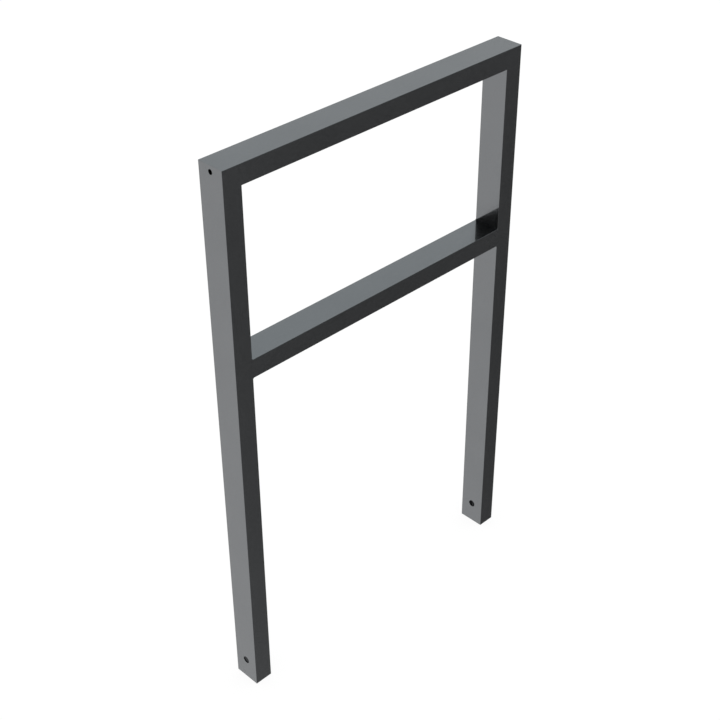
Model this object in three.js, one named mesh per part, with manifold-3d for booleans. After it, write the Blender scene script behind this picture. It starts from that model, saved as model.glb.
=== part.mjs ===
// Hoop bike rack: an upright hoop of rectangular steel tube with a second rail below the top one.
// Millimetres. +X runs from the left leg to the right leg, -Y is the front and +Z is up.
// The origin is midway between the legs, in the plane of their lower ends.

import * as THREE from 'three';
import { mergeVertices } from 'three/addons/utils/BufferGeometryUtils.js';
import Module from 'manifold-3d';

const wasm = await Module();
wasm.setup();

// Hoop
const hoopWidth = 750;
const hoopHeight = 1200;
const railGap = 350;

// Rectangular tube: its width shows from the front, its depth runs front to back
const tubeWidth = 40;
const tubeDepth = 60;
const tubeWall = 3;
const tubeOuterRadius = 0.5;
const tubeInnerRadius = 1;

// Welds: a butt weld in each mitre, and a ring round each end of the mid rail that fills a bevel
const mitreWeldWidth = 3;
const railEndLand = 1;
const filletLeg = 2;
const weldClearance = 0.3;

// Round holes
const ventHoleDiameter = 10;
const ventHoleDrop = 12;
const anchorHoleDiameter = 16.5;
const anchorHoleHeight = 50;
const railVentDiameter = 16;
const cutOverrun = 1;

// How finely round shapes are stepped
const cornerSteps = 6;
const holeSteps = 48;

// Places that follow from the sizes above
const legCentre = (hoopWidth - tubeWidth) / 2;
const legInnerFace = legCentre - tubeWidth / 2;
const topRailHeight = hoopHeight - tubeWidth / 2;
const midRailHeight = topRailHeight - railGap - tubeWidth;
const mitreSetback = Math.SQRT2 * (mitreWeldWidth / 2 + weldClearance);
const railEndBevel = tubeWall - railEndLand;

// A smooth dark coat over steel
function coatMaterial(name) {
  return new THREE.MeshStandardMaterial({ name, color: 0x7a7c7e, roughness: 0.15, metalness: 1 });
}

// Points round a tube's section. out is measured across the tube, away from the middle of the hoop,
// and depth from front to back.
function sectionPoints(inset, cornerRadius) {
  const reachOut = tubeWidth / 2 - inset - cornerRadius;
  const reachDepth = tubeDepth / 2 - inset - cornerRadius;
  const corners = [[1, 1], [-1, 1], [-1, -1], [1, -1]];
  return corners.flatMap(([signOut, signDepth], corner) => {
    return Array.from({ length: cornerSteps + 1 }, (_, step) => {
      const angle = (corner + step / cornerSteps) * Math.PI / 2;
      return {
        out: signOut * reachOut + cornerRadius * Math.cos(angle),
        depth: signDepth * reachDepth + cornerRadius * Math.sin(angle),
      };
    });
  });
}

const outerSection = sectionPoints(0, tubeOuterRadius);
const innerSection = sectionPoints(tubeWall, tubeInnerRadius);
const bevelSection = sectionPoints(railEndBevel, tubeInnerRadius);

// Turns a body's faces outward, whichever way its rings ran
function facingOut(geometry) {
  const position = geometry.getAttribute('position');
  const index = geometry.getIndex().array;
  const corner = (i) => new THREE.Vector3().fromBufferAttribute(position, index[i]);
  let volume = 0;
  for (let i = 0; i < index.length; i += 3) {
    volume += corner(i).dot(corner(i + 1).cross(corner(i + 2)));
  }
  if (volume < 0) index.reverse();
  return geometry;
}

// A body whose rings of points are joined in order. A looped body joins the last ring to the first,
// and any other body closes each end with a flat cap.
function ringBody(rings, looped) {
  const count = rings[0].length;
  const points = rings.flat();
  const triangles = [];
  const joins = looped ? rings.length : rings.length - 1;
  for (let ring = 0; ring < joins; ring++) {
    const here = ring * count;
    const there = ((ring + 1) % rings.length) * count;
    for (let i = 0; i < count; i++) {
      const next = (i + 1) % count;
      triangles.push(here + i, here + next, there + next, here + i, there + next, there + i);
    }
  }
  if (!looped) {
    const last = (rings.length - 1) * count;
    for (let i = 1; i < count - 1; i++) {
      triangles.push(0, i + 1, i, last, last + i, last + i + 1);
    }
  }
  const geometry = new THREE.BufferGeometry().setFromPoints(points);
  geometry.setIndex(triangles);
  return facingOut(geometry);
}

// Solids for cutting, and back again
function toSolid(geometry) {
  geometry.deleteAttribute('normal');
  geometry.deleteAttribute('uv');
  const merged = mergeVertices(geometry);
  return new wasm.Manifold(new wasm.Mesh({
    numProp: 3,
    vertProperties: new Float32Array(merged.getAttribute('position').array),
    triVerts: new Uint32Array(merged.getIndex().array),
  }));
}

function toGeometry(solid) {
  const mesh = solid.getMesh();
  const geometry = new THREE.BufferGeometry();
  geometry.setAttribute('position', new THREE.BufferAttribute(mesh.vertProperties, mesh.numProp));
  geometry.setIndex(new THREE.BufferAttribute(mesh.triVerts, 1));
  return geometry;
}

// A cutter for a round hole along X, from one x to another, that runs past both
function roundHole(diameter, fromX, toX, height) {
  const length = Math.abs(toX - fromX) + 2 * cutOverrun;
  const cutter = new THREE.CylinderGeometry(diameter / 2, diameter / 2, length, holeSteps);
  cutter.rotateZ(Math.PI / 2);
  cutter.translate((fromX + toX) / 2, 0, height);
  return toSolid(cutter);
}

// Places on the tubes. side is -1 for the left leg and 1 for the right one.
function onLeg(side, point, z) {
  return new THREE.Vector3(side * (legCentre + point.out), point.depth, z);
}

function onRail(point, x, railHeight) {
  return new THREE.Vector3(x, point.depth, railHeight + point.out);
}

// A leg: open at its lower end, mitred at the top
function leg(side) {
  const foot = (section) => section.map((point) => onLeg(side, point, 0));
  const head = (section) => section.map((point) => {
    return onLeg(side, point, topRailHeight + point.out - mitreSetback);
  });
  const tube = toSolid(ringBody(
    [foot(outerSection), head(outerSection), head(innerSection), foot(innerSection)],
    true,
  ));
  const outerFace = side * (legCentre + tubeWidth / 2);
  const innerFace = side * legInnerFace;
  const outerWall = [outerFace, outerFace - side * tubeWall];
  const innerWall = [innerFace, innerFace + side * tubeWall];
  return toGeometry(tube
    .subtract(roundHole(ventHoleDiameter, ...outerWall, hoopHeight - ventHoleDrop))
    .subtract(roundHole(railVentDiameter, ...innerWall, midRailHeight))
    .subtract(roundHole(anchorHoleDiameter, ...outerWall, anchorHoleHeight))
    .subtract(roundHole(anchorHoleDiameter, ...innerWall, anchorHoleHeight)));
}

// The top rail: mitred at both ends
function topRail() {
  const end = (side, section) => section.map((point) => {
    return onRail(point, side * (legCentre + point.out - mitreSetback), topRailHeight);
  });
  return ringBody(
    [end(-1, outerSection), end(1, outerSection), end(1, innerSection), end(-1, innerSection)],
    true,
  );
}

// The mid rail: square ends against the legs, bevelled round the outside for the welds
function midRail() {
  const ring = (side, section, back) => section.map((point) => {
    return onRail(point, side * (legInnerFace - back), midRailHeight);
  });
  return ringBody([
    ring(-1, outerSection, railEndBevel),
    ring(1, outerSection, railEndBevel),
    ring(1, bevelSection, 0),
    ring(1, innerSection, 0),
    ring(-1, innerSection, 0),
    ring(-1, bevelSection, 0),
  ], true);
}

// A weld in a mitre: flush with both tubes outside and inside
function mitreWeld(side) {
  const reach = mitreWeldWidth * Math.SQRT1_2;
  const legEdge = (section) => section.map((point) => {
    return onLeg(side, point, topRailHeight + point.out - reach);
  });
  const railEdge = (section) => section.map((point) => {
    return onRail(point, side * (legCentre + point.out - reach), topRailHeight);
  });
  const mitre = (section) => section.map((point) => onLeg(side, point, topRailHeight + point.out));
  return ringBody([
    legEdge(outerSection),
    mitre(outerSection),
    railEdge(outerSection),
    railEdge(innerSection),
    mitre(innerSection),
    legEdge(innerSection),
  ], true);
}

// A weld round an end of the mid rail: fillets above and below, flush at the front and back.
// It is what a block there keeps once the leg and the rail, each with its clearance, are taken out.
function railWeld(side) {
  const at = (out, height) => new THREE.Vector2(side * (legInnerFace + out), height);
  const railTop = midRailHeight + tubeWidth / 2;
  const railUnder = midRailHeight - tubeWidth / 2;
  const outline = new THREE.Shape([
    at(tubeOuterRadius, railUnder),
    at(0, railUnder - filletLeg),
    at(-filletLeg, railUnder),
    at(-filletLeg, railTop),
    at(0, railTop + filletLeg),
    at(tubeOuterRadius, railTop),
  ]);
  const block = new THREE.ExtrudeGeometry(outline, { depth: tubeDepth, bevelEnabled: false });
  block.rotateX(Math.PI / 2);
  block.translate(0, tubeDepth / 2, 0);

  const clearRadius = tubeOuterRadius + weldClearance;
  const clearSection = sectionPoints(-weldClearance, clearRadius);
  const legRoom = ringBody([
    clearSection.map((point) => onLeg(side, point, 0)),
    clearSection.map((point) => onLeg(side, point, hoopHeight)),
  ], false);

  const bevelInset = railEndBevel - Math.SQRT2 * weldClearance;
  const bevelBack = railEndBevel - (Math.SQRT2 - 1) * weldClearance;
  const railRing = (section, x) => section.map((point) => onRail(point, side * x, midRailHeight));
  const railRoom = ringBody([
    railRing(clearSection, 0),
    railRing(clearSection, legInnerFace - bevelBack),
    railRing(sectionPoints(bevelInset, tubeInnerRadius), legInnerFace),
  ], false);

  return toGeometry(toSolid(block).subtract(toSolid(legRoom)).subtract(toSolid(railRoom)));
}

// The rack
const rack = new THREE.Group();

function add(name, geometry) {
  const mesh = new THREE.Mesh(geometry, coatMaterial(name));
  mesh.name = name;
  rack.add(mesh);
}

add('left_leg', leg(-1));
add('right_leg', leg(1));
add('top_rail', topRail());
add('mid_rail', midRail());
add('weld_top_left', mitreWeld(-1));
add('weld_top_right', mitreWeld(1));
add('weld_mid_left', railWeld(-1));
add('weld_mid_right', railWeld(1));

export default rack;
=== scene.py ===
"""Looks of a hoop bike rack, an upright hoop of rectangular steel tube with a second rail.

Metres. +X runs from the left leg to the right one, -Y is the front and +Z is up.
"""

import math

import bmesh
import bpy
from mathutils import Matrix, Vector


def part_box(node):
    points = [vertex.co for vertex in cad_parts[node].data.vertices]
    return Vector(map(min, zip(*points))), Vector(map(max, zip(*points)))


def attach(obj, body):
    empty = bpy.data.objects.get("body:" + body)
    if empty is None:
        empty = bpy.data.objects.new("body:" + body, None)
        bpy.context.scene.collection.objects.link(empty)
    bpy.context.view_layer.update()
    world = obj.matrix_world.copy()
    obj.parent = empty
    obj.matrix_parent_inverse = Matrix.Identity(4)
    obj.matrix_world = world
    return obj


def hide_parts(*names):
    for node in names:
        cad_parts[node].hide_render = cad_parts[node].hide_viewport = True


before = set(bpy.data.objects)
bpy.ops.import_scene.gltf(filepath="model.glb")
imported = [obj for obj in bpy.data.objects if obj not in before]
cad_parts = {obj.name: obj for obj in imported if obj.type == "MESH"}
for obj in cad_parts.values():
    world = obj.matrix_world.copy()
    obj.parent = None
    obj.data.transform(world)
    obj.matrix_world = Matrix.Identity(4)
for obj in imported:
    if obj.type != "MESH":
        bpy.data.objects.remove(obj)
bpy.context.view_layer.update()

# Places of the tubes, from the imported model
LEG_LOW, LEG_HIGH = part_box("right_leg")
TOP_RAIL_LOW, TOP_RAIL_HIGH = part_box("top_rail")
MID_RAIL_LOW, MID_RAIL_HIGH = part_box("mid_rail")

TUBE_WIDTH = LEG_HIGH.x - LEG_LOW.x
TUBE_DEPTH = LEG_HIGH.y - LEG_LOW.y
LEG_CENTRE = (LEG_LOW.x + LEG_HIGH.x) / 2
LEG_INNER_FACE = LEG_LOW.x
HOOP_HEIGHT = TOP_RAIL_HIGH.z
TOP_RAIL_CENTRE = HOOP_HEIGHT - TUBE_WIDTH / 2
MID_RAIL_CENTRE = (MID_RAIL_LOW.z + MID_RAIL_HIGH.z) / 2

# Rectangular tube
WALL = 0.003
OUTER_RADIUS = 0.0004
INNER_RADIUS = 0.001
RIM_RADIUS = 0.0003

# Welds
MITRE_WELD_REACH = 0.003 * math.sqrt(0.5)
MITRE_WELD_ROUNDING = 0.0001
RAIL_WELD_LEG = 0.002
RAIL_WELD_ROOT = 0.002
BEAD_CROWN = 0.00015
RIPPLE_HEIGHT = 0.00005
RIPPLE_PITCH = 0.0016
RIPPLE_LAG = 0.0009

# Round holes
VENT_HOLE_RADIUS = 0.005
VENT_HOLE_DROP = 0.012
ANCHOR_HOLE_RADIUS = 0.00825
ANCHOR_HOLE_HEIGHT = 0.05
RAIL_VENT_RADIUS = 0.008

# How finely round shapes are stepped
CORNER_STEPS = 10
RIM_STEPS = 4
HOLE_STEPS = 64
BEAD_STEPS = 8
CONTACT_STEPS = 3
CONTACT_SHARE = 0.8
RIPPLE_STEP = 0.0004

# Shading of the meshes
SHARP_ANGLE = math.radians(35)
LARGE_FACE_WEIGHT = 90

# Coat: sizes of its patterns, and what each does to tone, roughness and height
COAT_TONES = ((0.188, 0.194, 0.201, 1), (0.206, 0.212, 0.219, 1))
COAT_SPECULAR_TINT = (0.85, 0.85, 0.85, 1)
FLAKE_SIZE = 0.0002
FLAKE_TONE_SHARE = 0.5
TONE_PATCH_SIZE = 0.12
SMOOTH_PATCH_SIZE = 0.035
SMOOTH_PATCH_DETAIL = 4
SMOOTH_ROUGHNESS = (0.06, 0.08)
DULL_RANGE = (0.65, 0.69)
DULL_ROUGHNESS = 0.28
PEEL_SIZE = 0.0018
PEEL_HEIGHT = 0.000004
WAVE_SIZE = 0.009
TUBE_WAVE_HEIGHT = 0.000003
WELD_WAVE_HEIGHT = 0.000008
NOISE_DETAIL = 2
NOISE_RANGE = (0.3, 0.7)

# Surroundings. A dark place has its azimuth and elevation, the degrees round it that are fully
# dark and those beyond which it is clear, and its level.
WHITE = (1, 1, 1, 1)
CEILING_COLOUR = (0.66, 0.77, 0.81, 1)
CEILING_RANGE = (0.1, 1)
DARK_PLACES = (
    (-40, -31, 8, 52, 0.132),
    (138, 40, 24, 42, 0.01),
    (-140, -40, 6, 35, 0.1),
)

# Floor: the camera sees a glow and a faint part that takes the shadow, and the rack a pale floor
FLOOR_REACH = 4
FLOOR_DROP = 0.0003
FLOOR_COLOUR = (0.8, 0.8, 0.8, 1)
FLOOR_SHADOW_COLOUR = (0.12, 0.12, 0.12, 1)
FLOOR_GLOW = 0.9

# The photograph's camera
IMAGE_SIZE = 720
FOCAL_LENGTH_PIXELS = 1403.0
PRINCIPAL_POINT_PIXELS = (372.64, 373.02)
SENSOR_WIDTH_MM = 36
CAMERA_PLACE = (-1.64205, -1.64194, 2.24108)
CAMERA_DIRECTION = (1, 1, -1)


# Outlines and rings

def section(inset, radius, side_step=None):
    """Points (out, depth, out normal, depth normal) round a tube's section, inset from its skin.

    With side_step, the two sides that face out and in get points about that far apart.
    """
    reach_out = TUBE_WIDTH / 2 - inset - radius
    reach_depth = TUBE_DEPTH / 2 - inset - radius
    points = []
    for corner, (sign_out, sign_depth) in enumerate([(1, 1), (-1, 1), (-1, -1), (1, -1)]):
        for step in range(CORNER_STEPS + 1):
            angle = (corner + step / CORNER_STEPS) * math.pi / 2
            normal_out, normal_depth = math.cos(angle), math.sin(angle)
            out = sign_out * reach_out + radius * normal_out
            depth = sign_depth * reach_depth + radius * normal_depth
            points.append((out, depth, normal_out, normal_depth))
        if side_step and corner in (1, 3):
            count = round(2 * reach_depth / side_step)
            for step in range(1, count):
                depth = sign_depth * reach_depth * (1 - 2 * step / count)
                points.append((sign_out * (reach_out + radius), depth, sign_out, 0))
    return points


def outer_section(inset=0):
    return section(inset, OUTER_RADIUS - inset)


def inner_section(widening=0):
    return section(WALL - widening, INNER_RADIUS + widening)


def flat_side(corner):
    """Place, in a ring of section points, of the flat side that follows a corner."""
    return corner * (CORNER_STEPS + 1) + CORNER_STEPS


INNER_SIDE = flat_side(1)
OUTER_SIDE = flat_side(3)


def quarter_arc(steps):
    """Pairs (sine, cosine) from 0 to 90 degrees."""
    angles = [step / steps * math.pi / 2 for step in range(steps + 1)]
    return [(math.sin(angle), math.cos(angle)) for angle in angles]


# Meshes

def join_rings(mesh, rings):
    """Joins rings of points in order, and the last to the first. Gives the faces, ring by ring."""
    corners = [[mesh.verts.new(point) for point in ring] for ring in rings]
    faces = []
    for here, there in zip(corners, corners[1:] + corners[:1]):
        row = []
        for i in range(len(here)):
            j = (i + 1) % len(here)
            row.append(mesh.faces.new((here[i], here[j], there[j], there[i])))
        faces.append(row)
    return faces


def cut_panel(mesh, panel, centre, circle):
    """Replaces a flat panel by four faces round a circle of corners in its plane."""
    def turn(corner):
        return math.atan2(corner.co.z - centre.z, corner.co.y - centre.y) % math.tau

    outline = sorted(panel.verts, key=turn)
    mesh.faces.remove(panel)
    quarter = HOLE_STEPS // 4
    for k in range(4):
        first = quarter // 2 + k * quarter
        arc = [circle[(first + i) % HOLE_STEPS] for i in range(quarter + 1)]
        mesh.faces.new([outline[k], outline[(k + 1) % 4], *reversed(arc)])


def drill(mesh, outer_panel, inner_panel, radius, height):
    """Cuts a round hole along X, with rounded rims, through a wall between two panels."""
    outer_x = outer_panel.verts[0].co.x
    inner_x = inner_panel.verts[0].co.x
    inward = math.copysign(1, inner_x - outer_x)
    profile = []
    for sine, cosine in quarter_arc(RIM_STEPS):
        profile.append((RIM_RADIUS * (1 - sine), outer_x + inward * RIM_RADIUS * (1 - cosine)))
    for sine, cosine in reversed(quarter_arc(RIM_STEPS)):
        profile.append((RIM_RADIUS * (1 - sine), inner_x - inward * RIM_RADIUS * (1 - cosine)))

    circles = []
    for widening, x in profile:
        circle = []
        for step in range(HOLE_STEPS):
            angle = step / HOLE_STEPS * math.tau
            reach = radius + widening
            point = (x, reach * math.cos(angle), height + reach * math.sin(angle))
            circle.append(mesh.verts.new(point))
        circles.append(circle)
    for here, there in zip(circles, circles[1:]):
        for i in range(HOLE_STEPS):
            j = (i + 1) % HOLE_STEPS
            mesh.faces.new((here[i], here[j], there[j], there[i]))

    centre = Vector((0, 0, height))
    cut_panel(mesh, outer_panel, centre, circles[0])
    cut_panel(mesh, inner_panel, centre, circles[-1])


def finish_piece(name, mesh, node, material):
    """Makes an object of a mesh, to stand for a CAD node."""
    bmesh.ops.recalc_face_normals(mesh, faces=mesh.faces)
    for face in mesh.faces:
        face.smooth = True
    data = bpy.data.meshes.new(name)
    mesh.to_mesh(data)
    mesh.free()
    data.set_sharp_from_angle(angle=SHARP_ANGLE)
    data.materials.append(material)
    piece = bpy.data.objects.new(name, data)
    bpy.context.scene.collection.objects.link(piece)
    normals = piece.modifiers.new("even_normals", "WEIGHTED_NORMAL")
    normals.keep_sharp = True
    normals.weight = LARGE_FACE_WEIGHT
    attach(piece, "root")
    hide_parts(node)


# Places on the tubes. side is -1 for the left leg and 1 for the right one.

def leg_ring(side, points, height):
    return [(side * (LEG_CENTRE + point[0]), point[1], height) for point in points]


def leg_mitre_ring(side, points, back):
    """A ring on a leg that runs along the mitre, that far below it."""
    return [
        (side * (LEG_CENTRE + point[0]), point[1], TOP_RAIL_CENTRE + point[0] - back)
        for point in points
    ]


def rail_mitre_ring(side, points, back):
    """The same on the top rail, that far short of the mitre."""
    return [
        (side * (LEG_CENTRE + point[0] - back), point[1], TOP_RAIL_CENTRE + point[0])
        for point in points
    ]


def mid_rail_ring(x, points):
    return [(x, point[1], MID_RAIL_CENTRE + point[0]) for point in points]


# Pieces

def leg(side, name, material):
    """Open at its lower end and mitred at the top, with a rounded rim at the foot."""
    mesh = bmesh.new()
    middle = (ANCHOR_HOLE_HEIGHT + MID_RAIL_CENTRE) / 2
    rings = []
    for sine, cosine in reversed(quarter_arc(RIM_STEPS)):
        ring = outer_section(RIM_RADIUS * (1 - cosine))
        rings.append(leg_ring(side, ring, RIM_RADIUS * (1 - sine)))
    outer_middle = len(rings)
    rings.append(leg_ring(side, outer_section(), middle))
    rings.append(leg_mitre_ring(side, outer_section(), MITRE_WELD_REACH))
    rings.append(leg_mitre_ring(side, inner_section(), MITRE_WELD_REACH))
    inner_middle = len(rings)
    rings.append(leg_ring(side, inner_section(), middle))
    for sine, cosine in quarter_arc(RIM_STEPS):
        ring = inner_section(RIM_RADIUS * (1 - cosine))
        rings.append(leg_ring(side, ring, RIM_RADIUS * (1 - sine)))
    faces = join_rings(mesh, rings)

    low_outer, high_outer = faces[outer_middle - 1], faces[outer_middle]
    high_inner, low_inner = faces[inner_middle - 1], faces[inner_middle]
    for wall in (OUTER_SIDE, INNER_SIDE):
        drill(mesh, low_outer[wall], low_inner[wall], ANCHOR_HOLE_RADIUS, ANCHOR_HOLE_HEIGHT)
    vent_height = HOOP_HEIGHT - VENT_HOLE_DROP
    drill(mesh, high_outer[OUTER_SIDE], high_inner[OUTER_SIDE], VENT_HOLE_RADIUS, vent_height)
    drill(mesh, high_outer[INNER_SIDE], high_inner[INNER_SIDE], RAIL_VENT_RADIUS, MID_RAIL_CENTRE)
    finish_piece(name + "_tube", mesh, name, material)


def top_rail(name, material):
    """Mitred at both ends."""
    mesh = bmesh.new()
    join_rings(mesh, [
        rail_mitre_ring(-1, outer_section(), MITRE_WELD_REACH),
        rail_mitre_ring(1, outer_section(), MITRE_WELD_REACH),
        rail_mitre_ring(1, inner_section(), MITRE_WELD_REACH),
        rail_mitre_ring(-1, inner_section(), MITRE_WELD_REACH),
    ])
    finish_piece(name + "_tube", mesh, name, material)


def mid_rail(name, material):
    """Cut square against the legs, and bevelled round the outside for the welds."""
    mesh = bmesh.new()
    root_section = section(RAIL_WELD_ROOT, INNER_RADIUS)
    toe = LEG_INNER_FACE - RAIL_WELD_LEG
    join_rings(mesh, [
        mid_rail_ring(-toe, outer_section()),
        mid_rail_ring(toe, outer_section()),
        mid_rail_ring(LEG_INNER_FACE, root_section),
        mid_rail_ring(LEG_INNER_FACE, inner_section()),
        mid_rail_ring(-LEG_INNER_FACE, inner_section()),
        mid_rail_ring(-LEG_INNER_FACE, root_section),
    ])
    finish_piece(name + "_tube", mesh, name, material)


def mitre_weld(side, name, material):
    """Flush with both tubes, a little rounded where it turns the corner."""
    mesh = bmesh.new()
    rounding = MITRE_WELD_ROUNDING

    def corner_rings(points):
        rings = [leg_mitre_ring(side, points, MITRE_WELD_REACH)]
        for sine, cosine in quarter_arc(CORNER_STEPS):
            below = rounding * (1 - sine)
            beside = rounding * (1 - cosine)
            rings.append([
                (side * (LEG_CENTRE + out - beside), depth, TOP_RAIL_CENTRE + out - below)
                for out, depth, _, _ in points
            ])
        rings.append(rail_mitre_ring(side, points, MITRE_WELD_REACH))
        return rings

    outer_rings = corner_rings(outer_section())
    inner_rings = corner_rings(inner_section())
    join_rings(mesh, outer_rings + inner_rings[::-1])
    finish_piece(name + "_bead", mesh, name, material)


def root_section(count):
    """The section at the root of a rail weld, its long sides stepped to give that many points."""
    side_points = (count - 4 * (CORNER_STEPS + 1)) // 2
    side_reach = TUBE_DEPTH / 2 - RAIL_WELD_ROOT - INNER_RADIUS
    return section(RAIL_WELD_ROOT, INNER_RADIUS, 2 * side_reach / (side_points + 1))


def rail_weld(side, name, material):
    """A rippled fillet above and below the mid rail, dressed flush at the front and back."""
    mesh = bmesh.new()
    skin = section(0, OUTER_RADIUS, RIPPLE_STEP)
    root = root_section(len(skin))
    flat_reach = TUBE_DEPTH / 2 - OUTER_RADIUS
    profiles = []
    for (out, depth, normal_out, normal_depth), (root_out, root_depth, _, _) in zip(skin, root):
        facing = abs(normal_out)
        angle = math.acos(min(facing, 1))
        toe = Vector((LEG_INNER_FACE - RAIL_WELD_LEG, depth, out))
        lift = math.copysign(RAIL_WELD_LEG * facing, out)

        def on_leg(turn, height):
            """A point on the leg's inner face, or on its rounded edge once turn is above 0."""
            across = depth
            if abs(depth) > flat_reach:
                across = math.copysign(flat_reach + OUTER_RADIUS * math.sin(turn), depth)
            return Vector((LEG_INNER_FACE + OUTER_RADIUS * (1 - math.cos(turn)), across, height))

        leg_toe = on_leg(angle, out + lift)
        away = Vector((-facing, normal_depth, math.copysign(facing, out))).normalized()
        profile = [toe]
        for step in range(1, BEAD_STEPS):
            share = step / BEAD_STEPS
            swell = math.sin(math.pi * share)
            wave = math.cos(math.tau * (depth - RIPPLE_LAG * swell) / RIPPLE_PITCH)
            height = facing ** 2 * swell * (BEAD_CROWN + RIPPLE_HEIGHT * wave)
            profile.append(toe.lerp(leg_toe, share) + away * height)
        profile.append(leg_toe)
        for step in range(1, CONTACT_STEPS + 1):
            share = step / CONTACT_STEPS
            height = leg_toe.z + (root_out - leg_toe.z) * share * CONTACT_SHARE
            profile.append(on_leg(angle * (1 - share), height))
        profile.append(Vector((LEG_INNER_FACE, root_depth, root_out)))
        profiles.append([(side * p.x, p.y, MID_RAIL_CENTRE + p.z) for p in profile])
    join_rings(mesh, list(zip(*profiles)))
    finish_piece(name + "_bead", mesh, name, material)


# Shader nodes

def add_node(tree, kind, inputs=(), **settings):
    """Adds a node. inputs pairs the name or place of a socket with a value or another socket."""
    node = tree.nodes.new(kind)
    for name, value in settings.items():
        setattr(node, name, value)
    for socket, value in dict(inputs).items():
        if isinstance(value, bpy.types.NodeSocket):
            tree.links.new(value, node.inputs[socket])
        else:
            node.inputs[socket].default_value = value
    return node


def map_range(tree, value, source, target):
    node = add_node(tree, "ShaderNodeMapRange", {
        "Value": value,
        "From Min": source[0],
        "From Max": source[1],
        "To Min": target[0],
        "To Max": target[1],
    })
    return node.outputs["Result"]


def calculate(tree, operation, *values):
    node = add_node(tree, "ShaderNodeMath", enumerate(values), operation=operation)
    return node.outputs[0]


def mix_colours(tree, share, first, second):
    """A colour between two. The colour sockets of this node have no names of their own."""
    node = add_node(tree, "ShaderNodeMix", {0: share, 6: first, 7: second}, data_type="RGBA")
    return node.outputs[2]


# Materials

def coat(name, wave_height):
    """A smooth dark grey coat of fine metal flakes over steel. Some of the flakes lie dull."""
    material = bpy.data.materials.new(name)
    material.use_nodes = True
    tree = material.node_tree
    place = add_node(tree, "ShaderNodeTexCoord").outputs["Object"]

    def noise(size, detail=NOISE_DETAIL):
        inputs = {"Vector": place, "Scale": 1 / size, "Detail": detail}
        return add_node(tree, "ShaderNodeTexNoise", inputs).outputs["Fac"]

    flakes = add_node(tree, "ShaderNodeTexVoronoi", {"Vector": place, "Scale": 1 / FLAKE_SIZE})
    flake = add_node(tree, "ShaderNodeSeparateColor", {"Color": flakes.outputs["Color"]})
    patches = map_range(tree, noise(TONE_PATCH_SIZE), NOISE_RANGE, (0, 1 - FLAKE_TONE_SHARE))
    tone = calculate(tree, "MULTIPLY_ADD", flake.outputs["Green"], FLAKE_TONE_SHARE, patches)

    smooth_noise = noise(SMOOTH_PATCH_SIZE, SMOOTH_PATCH_DETAIL)
    smooth = map_range(tree, smooth_noise, NOISE_RANGE, SMOOTH_ROUGHNESS)
    dull = map_range(tree, flake.outputs["Red"], DULL_RANGE, (0, DULL_ROUGHNESS))

    peel = add_node(tree, "ShaderNodeBump", {
        "Height": noise(PEEL_SIZE),
        "Distance": PEEL_HEIGHT,
        "Strength": 1,
    })
    wave = add_node(tree, "ShaderNodeBump", {
        "Height": noise(WAVE_SIZE),
        "Distance": wave_height,
        "Strength": 1,
        "Normal": peel.outputs["Normal"],
    })

    shader = tree.nodes["Principled BSDF"]
    shader.inputs["Metallic"].default_value = 1
    shader.inputs["Specular Tint"].default_value = COAT_SPECULAR_TINT
    tree.links.new(mix_colours(tree, tone, *COAT_TONES), shader.inputs["Base Color"])
    tree.links.new(calculate(tree, "ADD", smooth, dull), shader.inputs["Roughness"])
    tree.links.new(wave.outputs["Normal"], shader.inputs["Normal"])
    return material


# Stage

def make_camera():
    data = bpy.data.cameras.new("camera")
    data.sensor_width = SENSOR_WIDTH_MM
    data.lens = FOCAL_LENGTH_PIXELS / IMAGE_SIZE * SENSOR_WIDTH_MM
    data.shift_x = 0.5 - PRINCIPAL_POINT_PIXELS[0] / IMAGE_SIZE
    data.shift_y = PRINCIPAL_POINT_PIXELS[1] / IMAGE_SIZE - 0.5
    camera = bpy.data.objects.new("camera", data)
    camera.location = CAMERA_PLACE
    camera.rotation_mode = "QUATERNION"
    camera.rotation_quaternion = Vector(CAMERA_DIRECTION).to_track_quat("-Z", "Y")
    bpy.context.scene.collection.objects.link(camera)
    bpy.context.scene.camera = camera


def direction(azimuth, elevation):
    """A unit direction. Azimuth runs from +X towards +Y, in degrees."""
    a, e = math.radians(azimuth), math.radians(elevation)
    return Vector((math.cos(e) * math.cos(a), math.cos(e) * math.sin(a), math.sin(e)))


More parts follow.
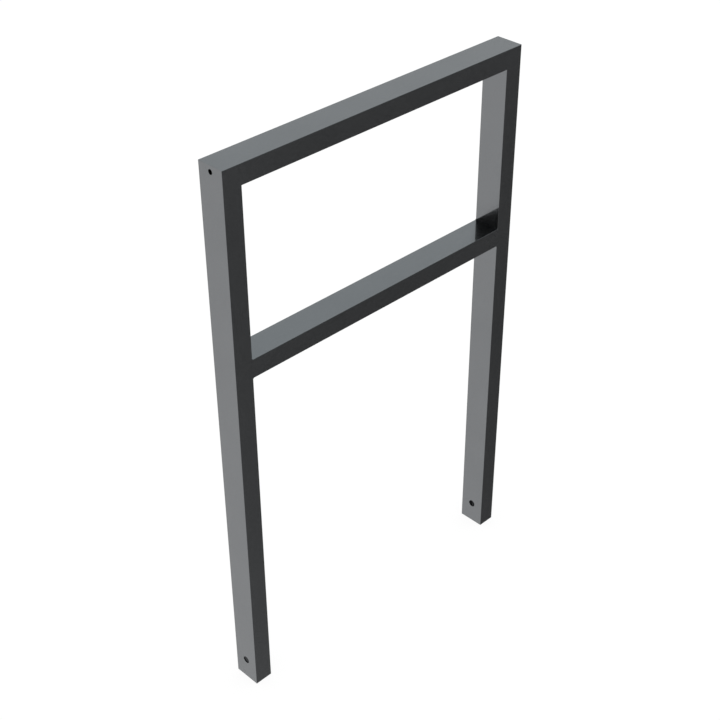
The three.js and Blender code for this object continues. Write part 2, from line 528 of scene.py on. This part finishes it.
def make_world():
    """White all round. Gloss alone shows a cooler ceiling and three soft dark places."""
    world = bpy.data.worlds.new("studio")
    bpy.context.scene.world = world
    world.use_nodes = True
    tree = world.node_tree
    tree.nodes.clear()
    toward = add_node(tree, "ShaderNodeTexCoord").outputs["Generated"]
    path = add_node(tree, "ShaderNodeLightPath").outputs
    shows_gloss = calculate(tree, "MAXIMUM", path["Is Glossy Ray"], path["Is Transmission Ray"])

    height = add_node(tree, "ShaderNodeSeparateXYZ", {"Vector": toward}).outputs["Z"]
    rise = map_range(tree, height, CEILING_RANGE, (0, 1))
    ceiling_share = calculate(tree, "MULTIPLY", shows_gloss, rise)
    colour = mix_colours(tree, ceiling_share, WHITE, CEILING_COLOUR)

    brightness = 1
    for azimuth, elevation, full, clear, level in DARK_PLACES:
        nearness = add_node(
            tree,
            "ShaderNodeVectorMath",
            {0: toward, 1: direction(azimuth, elevation)},
            operation="DOT_PRODUCT",
        ).outputs["Value"]
        edge = (math.cos(math.radians(clear)), math.cos(math.radians(full)))
        place = map_range(tree, nearness, edge, (1, level))
        brightness = calculate(tree, "MULTIPLY", brightness, place)
    lost = calculate(tree, "MULTIPLY", shows_gloss, calculate(tree, "SUBTRACT", 1, brightness))
    strength = calculate(tree, "SUBTRACT", 1, lost)
    background = add_node(tree, "ShaderNodeBackground", {"Color": colour, "Strength": strength})
    add_node(tree, "ShaderNodeOutputWorld", {"Surface": background.outputs["Background"]})


def make_floor():
    """A pale floor that the camera sees as white, with the rack's soft shadow."""
    mesh = bmesh.new()
    bmesh.ops.create_grid(mesh, x_segments=1, y_segments=1, size=FLOOR_REACH)
    data = bpy.data.meshes.new("floor")
    mesh.to_mesh(data)
    mesh.free()
    floor = bpy.data.objects.new("floor", data)
    floor.location.z = -FLOOR_DROP
    bpy.context.scene.collection.objects.link(floor)
    floor.visible_glossy = False

    material = bpy.data.materials.new("floor")
    material.use_nodes = True
    tree = material.node_tree
    tree.nodes.clear()
    pale = add_node(tree, "ShaderNodeBsdfDiffuse", {"Color": FLOOR_COLOUR})
    shadowed = add_node(tree, "ShaderNodeBsdfDiffuse", {"Color": FLOOR_SHADOW_COLOUR})
    glow = add_node(tree, "ShaderNodeEmission", {"Color": WHITE, "Strength": FLOOR_GLOW})
    seen = add_node(tree, "ShaderNodeAddShader", {0: shadowed.outputs[0], 1: glow.outputs[0]})
    is_camera_ray = add_node(tree, "ShaderNodeLightPath").outputs["Is Camera Ray"]
    either = {0: is_camera_ray, 1: pale.outputs[0], 2: seen.outputs[0]}
    pick = add_node(tree, "ShaderNodeMixShader", either)
    add_node(tree, "ShaderNodeOutputMaterial", {"Surface": pick.outputs[0]})
    data.materials.append(material)


make_camera()
make_world()
make_floor()

tube_coat = coat("tube_coat", TUBE_WAVE_HEIGHT)
weld_coat = coat("weld_coat", WELD_WAVE_HEIGHT)
leg(-1, "left_leg", tube_coat)
leg(1, "right_leg", tube_coat)
top_rail("top_rail", tube_coat)
mid_rail("mid_rail", tube_coat)
mitre_weld(-1, "weld_top_left", weld_coat)
mitre_weld(1, "weld_top_right", weld_coat)
rail_weld(-1, "weld_mid_left", weld_coat)
rail_weld(1, "weld_mid_right", weld_coat)

bpy.context.scene.view_settings.view_transform = "Standard"
